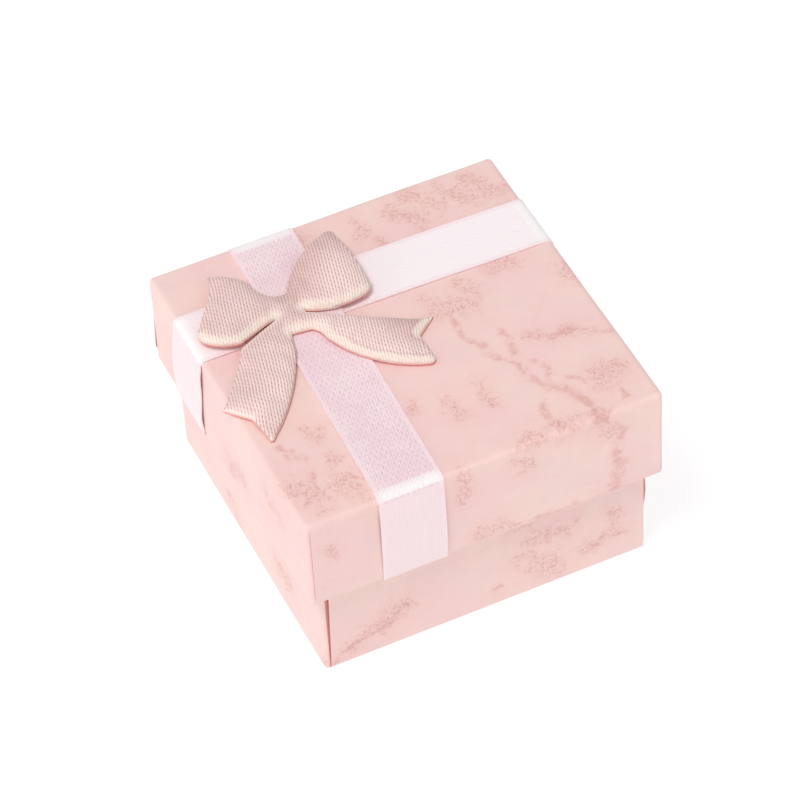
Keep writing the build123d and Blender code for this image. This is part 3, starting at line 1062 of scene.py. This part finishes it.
def add_bow_cloth(loop, coarse, coarse_faces, puffed):
    fine_loop = outline_points(BOW_OUTLINE, BOW_FINE_STEP)
    net = lattice([fine_loop], KNIT_PITCH / 5, KNIT_STITCH / 4, -KNIT_LEAN)
    flat, faces = fill([fine_loop], net, 0.05)
    top = carried(coarse, coarse_faces, puffed, flat)
    rim_count = len(fine_loop)
    top[:rim_count, :2], top[:rim_count, 2] = flat[:rim_count], 0
    top = relaxed(top, faces, rim_count, 25)
    x, y = flat[:, 0], flat[:, 1]

    # Painted highlight on the slopes near the edges that face forward, and painted shade near the edges that
    # face back and left, less on the left half.
    front_edge = edge_facing(flat, loop, (-0.35, -0.94))
    painted_highlight_width = np.where((x < -4) & (y < -8), 0.6, 1.3)
    pale = 1 - smooth_step(front_edge / painted_highlight_width, 0.45, 1.3)
    shade = 1 - smooth_step(edge_facing(flat, loop, (-0.6, 0.8)), 1.0, 7.0)
    shade *= 0.45 + 0.55 * smooth_step(x, -1.5, 1.5)
    on_right_tail = smooth_step(x, 3, 6) * (-y - 0.42 * x > 0.3)
    press_line = np.exp(-((front_edge - 1.35) / 0.14) ** 2) * on_right_tail
    top[:, 2] -= 0.10 * press_line
    relief = knit_relief(x, y) * smooth_step(edge_distance(flat, [fine_loop]), 0.0, 0.25)
    # Along the press line the stitch value drops, so the cloth there takes the darker furrow colour: painted
    # shade in the groove.
    stitch = relief * (1 - 0.6 * press_line)

    surface = top + joined(0.0, 0.0, bow_rise(top[:, 0], top[:, 1])) + [*BOW_CENTRE, TOP]
    edge = felt("bow_cut_edge", (255, 250, 243), (252, 240, 230), 0.2)
    build = Builder()
    build.triangles(surface, faces, stitch=stitch, pale=pale, shade=shade)
    cloth = build.mesh_object("bow_cloth", [knit(), edge])
    move_points(cloth, lambda p, n: n * (KNIT_DEPTH * (relief - 0.5))[:, None])
    thicken(cloth, BOW_CLOTH, edge_slot=1)
    settle(cloth, "bow_fabric", "lid")


def add_bow_backing(under, faces):
    build = Builder()
    build.triangles(under, faces)
    # The backing's underside and cut edge are rose-red: a painted shadow colour, so that the shade under the
    # bow's edges shows red.
    backing = build.mesh_object("bow_felt", [felt("felt", (255, 248, 238), (250, 236, 222), 0.25),
                                             felt("felt_painted_red_shadow", (241, 168, 160), (234, 146, 140), 0.3)])
    thicken(backing, BOW_BACKING, edge_slot=1, back_slot=1)
    settle(backing, "bow_backing", "lid")


def add_bow_wadding(loop, flat, faces, puffed, under):
    bottom = np.concatenate([inset(flat, loop, 0.35), under[:, 2:]], 1) + [*BOW_CENTRE, BOW_SEAM_GAP]
    top = bottom + np.maximum(puffed[:, 2:] - 0.5, 0.2 * puffed[:, 2:]) * [0, 0, 1]
    # Where all three corners are on the seam, the top and the bottom would be one face twice.
    faces = faces[(faces >= len(loop)).any(1)]
    build = Builder()
    build.triangles(top, faces)
    build.triangles(bottom, faces[:, ::-1])
    stuffing = felt("wadding", (250, 246, 240), (232, 226, 218), 0.5)
    wadding = build.mesh_object("bow_wadding", [stuffing], merge=0.001)
    settle(wadding, "bow_padding", "lid")


def add_bow():
    loop = outline_points(BOW_OUTLINE, BOW_STEP)
    flat, faces, puffed = puffed_bow(loop)
    seam = bow_rise(flat[:, 0], flat[:, 1]) - BOW_SEAM_GAP
    under = joined(flat[:, 0], flat[:, 1], seam) + [*BOW_CENTRE, TOP]
    add_bow_cloth(loop, flat, faces, puffed)
    add_bow_backing(under, faces)
    add_bow_wadding(loop, flat, faces, puffed, under)


def outward_normals(loop):
    tangent = np.roll(loop, -1, axis=0) - np.roll(loop, 1, axis=0)
    normal = np.stack([tangent[:, 1], -tangent[:, 0]], -1) / np.linalg.norm(tangent, axis=1, keepdims=True)
    after = np.roll(loop, -1, axis=0)
    turns_left = np.sum(loop[:, 0] * after[:, 1] - loop[:, 1] * after[:, 0]) > 0
    return normal if turns_left else -normal


def inset(points, loop, amount):
    """Flat points drawn in from the loop's edge, by less the further in they are."""
    gap = np.linalg.norm(points[:, None] - loop[None], axis=2)
    return points - outward_normals(loop)[gap.argmin(1)] * (amount * np.exp(-gap.min(1) / 0.8))[:, None]


def edge_facing(points, loop, direction):
    """How far flat points are from the nearest stretch of the loop's edge that faces that way."""
    facing = loop[outward_normals(loop) @ direction > 0.5]
    return np.min([np.linalg.norm(points - place, axis=1) for place in facing], axis=0)


# ==== Ring pad ====
def slit_loops():
    """The outlines of the ring slit and the two chain slits, each with its depth."""
    reach = FOAM_HIGH[0] - CHAIN_SLIT_IN
    slits = [(rectangle((0, 0), *RING_SLIT[:2], step=0.4), RING_SLIT[2])]
    for sign in (-1, 1):
        loop = rectangle((sign * reach, reach), *CHAIN_SLIT[:2], degrees=sign * -45, step=0.3)
        slits.append((loop, CHAIN_SLIT[2]))
    return slits


def fan(loop):
    """(points, triangles) of the flat area inside a convex loop, from its middle."""
    ring = np.arange(len(loop))
    faces = np.stack([ring, np.roll(ring, -1), 0 * ring + len(loop)], -1)
    return np.concatenate([loop, loop.mean(0)[None]]), faces


def pad_sink(points, outer, slits):
    """How far the pad's face sinks at its edges and at the lips of its slits."""
    edge = 1 - np.sqrt(1 - (1 - np.clip(edge_distance(points, [outer]) / 0.9, 0, 1)) ** 2)
    lips = 1 - smooth_step(edge_distance(points, slits), 0, 1.6)
    wave = 0.06 * soft_noise(np.column_stack([points, 0 * points[:, 0]]), 9.0, 4)
    return 0.7 * edge + 0.45 * lips ** 2 + wave * (1 - lips)


def add_walls(build, loop, top, bottom, rows):
    """Upright walls along a loop, from heights top down to heights bottom."""
    closed = np.concatenate([loop, loop[:1]])
    share = np.linspace(0, 1, rows + 1)[:, None]
    top, bottom = (np.broadcast_to(heights, len(loop)) for heights in (top, bottom))
    height = np.append(top, top[0]) * (1 - share) + np.append(bottom, bottom[0]) * share
    build.grid(joined(closed[:, 0], closed[:, 1], height), flip=True)


def at_height(flat, height):
    return joined(flat[:, 0], flat[:, 1], height)


def add_ring_pad():
    side = 2 * FOAM_HIGH[0]
    outer = rectangle((0, 0), side, side, step=0.6)
    slits = slit_loops()
    loops = [outer] + [loop for loop, depth in slits]
    flat, faces = fill(loops, lattice(loops, 0.6, 0.52), 0.25)
    sink = pad_sink(flat, outer, loops[1:])
    # fill() keeps the loops' points first and in order, so that each loop has its own run of sink.
    sinks = np.split(sink, np.cumsum([len(loop) for loop in loops]))

    block = Builder()
    block.triangles(at_height(flat, FOAM_HIGH[2] - sink), faces)
    floor, floor_faces = fill([outer], lattice([outer], 2.0, 1.8), 0.5)
    block.triangles(at_height(floor, FOAM_LOW[2]), floor_faces[:, ::-1])
    add_walls(block, outer, FOAM_HIGH[2] - sinks[0], FOAM_LOW[2], 14)
    for (loop, depth), drop in zip(slits, sinks[1:]):
        add_walls(block, loop, FOAM_HIGH[2] - drop, VELVET_HIGH - depth, 8)
        end, end_faces = fan(loop)
        block.triangles(at_height(end, VELVET_HIGH - depth), end_faces)
    block = finish_pad(block, "pad_foam", foam(), "insert_foam")

    face = Builder()
    face_low = FOAM_HIGH[2] + 0.01
    face.triangles(at_height(flat, VELVET_HIGH - sink), faces)
    face.triangles(at_height(flat, face_low - sink), faces[:, ::-1])
    for loop, drop in zip(loops, sinks):
        add_walls(face, loop, VELVET_HIGH - drop, face_low - drop, 2)
    face = finish_pad(face, "pad_velvet", velvet(), "insert_velvet")


def finish_pad(build, name, material, node):
    """One piece of the pad, closed and with its faces turned outward."""
    piece = build.mesh_object(name, [material], merge=0.002)
    edit_mesh(piece.data, lambda work: bmesh.ops.recalc_face_normals(work, faces=work.faces))
    sharpen(piece, 45)
    settle(piece, node, "insert")
    return piece


# ==== The pieces that keep their CAD shape ====
def repaint(nodes, material):
    for node in nodes:
        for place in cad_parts[node].material_slots:
            place.material = material


# ==== The print, and everything put together ====
# Each vein or patch of the print is its half width, then its points in the plane of its face: x and y
# on the top, x and z on the front and back, and y and z on the left and right.
LID_VEINS = {
    "top": [
        (0.6, (7.5, 0.5), (7.5, -4.5), (9, -7.5), (11, -13), (12.5, -18)),
        (0.6, (13, -5.5), (12.5, -11), (14.5, -15), (13.5, -18)),
        (0.75, (12.5, -18), (15, -19.5), (16.5, -23), (17, -26.5)),
        (0.45, (15.5, -16.5), (18, -19.5), (18.5, -22)),
        (0.6, (12, -20), (10.5, -24.5), (11, -26.5)),
        (0.5, (22, -21.5), (22, -24.5)),
        (0.6, (-23.5, -11.5), (-21.5, -15), (-22, -21)),
        (0.5, (17.5, -10), (22, -11), (25.5, -12.5)),
    ],
    "front": [
        (1.3, (17, 32), (19.5, 27.5), (19.5, 16.5)),
        (0.6, (3.5, 18), (9, 17), (14.5, 16)),
    ],
}
LID_PATCHES = {
    "top": [
        (1.4, (0.5, -15.5), (1, -17.5)), (0.8, (5.5, -13), (5, -17.5)), (1.4, (5.5, -26), (8, -25.5)),
        (1.5, (11.5, -25.5), (12.5, -26.5)), (1.5, (20, -20), (23, -19)), (0.9, (16, -8), (18, -10.5)),
        (1.1, (20.5, -10.5), (23, -11)), (0.8, (-4.5, -12), (-5, -14)), (1.8, (9, 2.5), (10.5, 0.5)),
        (1.4, (11.5, 5), (12, 2.5)), (1.2, (6, 4.5), (6.5, 1)), (1.4, (16.5, 6), (20, 6)),
        (1.4, (25.5, 1.5), (26, -1)), (1.6, (9.5, 23), (12, 19)), (1.7, (12.5, 24.5), (16, 21)),
        (1.8, (17, 23.5), (20.5, 20)), (1.7, (21.5, 23.5), (24, 19.5)), (1.1, (3, 23), (3.5, 20)),
        (0.8, (4.5, 18.5), (5, 17.5)), (1.2, (-4.5, 24.5), (-5, 22)), (1.2, (-19, -10.5), (-18, -12.5)),
        (2.2, (-24, -19.5), (-22.5, -22)), (1.8, (-18.5, -21), (-17.5, -24)),
        (1.0, (-18, -15.5), (-18, -17)),
    ],
    "front": [
        (1.6, (18.5, 16), (21, 14)), (1.3, (-3.5, 31), (-3.5, 26.5)), (1.2, (5.5, 29), (6, 28)),
        (1.5, (17.5, 31.5), (17.5, 29)), (0.7, (-23, 26.5), (-22.5, 25)), (1.3, (-1, 18), (2.5, 18)),
    ],
    "left": [(1.3, (0.5, 18.5), (-4.5, 20.5)), (1.2, (-13.5, 26.5), (-17.5, 25))],
    "right": [(2.2, (6, 24), (2, 22)), (1.8, (-12, 22), (-15, 24))],
    "back": [(2.2, (-6, 25), (-9, 23)), (2.2, (14, 22), (18, 24))],
}
BASE_VEINS = {
    "front": [
        (0.5, (15.5, 5), (18.5, 6.5), (22.5, 4)),
        (0.6, (-22.5, 3), (-17, 4), (-12, 7)),
    ],
}
BASE_PATCHES = {
    "front": [
        (1.2, (5, 14.5), (7, 14.5)), (1.7, (7.5, 10.5), (12, 10)), (1.9, (6.5, 7), (10.5, 3.5)),
        (1.2, (15, 5), (17.5, 5)), (1.0, (19, 10), (20.5, 5.5)), (0.7, (1.5, 3), (2.5, 3)),
        (1.5, (-14.5, 6.5), (-12, 7)), (1.7, (-18, 4.5), (-15.5, 5)), (1.4, (-20.5, 3.5), (-19, 3.5)),
        (0.8, (-24.5, 2), (-23, 2)),
    ],
    "left": [(1.5, (-10, 6.5), (-13.5, 6.5)), (1.2, (7.5, 4), (5.5, 2.5))],
    "right": [(2.2, (4, 8), (1, 6)), (1.6, (-14, 5), (-16, 6))],
    "back": [(2.2, (-5, 9), (-8, 7)), (1.8, (13, 5), (15, 7))],
}
LID_SEAMS = {"front_left": (0.0, 0.0, 0.02), "front_right": (-0.1, -0.1, 0.06),
             "back_left": (-0.15, -0.75, 0.10), "back_right": (0.10, 0.12, 0.08)}
BASE_SEAMS = {"front_left": (0.1, 1.0, 0.12), "front_right": (-0.5, -0.5, 0.08),
              "back_left": (0.15, 0.20, 0.12), "back_right": (0.10, 0.12, 0.08)}
BASE_PUFFS = {"front_right": (6.0, 17.5, 0.5)}


def main():
    add_camera()
    add_studio()
    # The second paper material is partly painted shade, on the flaps and bends seen through the seam gaps.
    edge = paper_edge_and_gap_shade()
    papers = [printed_paper(), edge]
    wrap_piece("lid_paper", "lid", LID_SIDE, TOP - LID_RIM, LID_TURN_IN, LID_SEAMS,
               {}, True, (LID_VEINS, LID_PATCHES), papers)
    wrap_piece("base_paper", "base", BASE_SIDE, BASE_HIGH[2], BASE_TURN_IN, BASE_SEAMS,
               BASE_PUFFS, False, (BASE_VEINS, BASE_PATCHES), papers)
    add_ribbons()
    add_bow()
    add_ring_pad()
    repaint(["base_board", "lid_board"], greyboard())
    repaint(["base_corner_tapes", "lid_corner_tapes"], stay_tape())
    repaint(["ribbon_glue_films", "bow_glue"], dried_glue())


main()
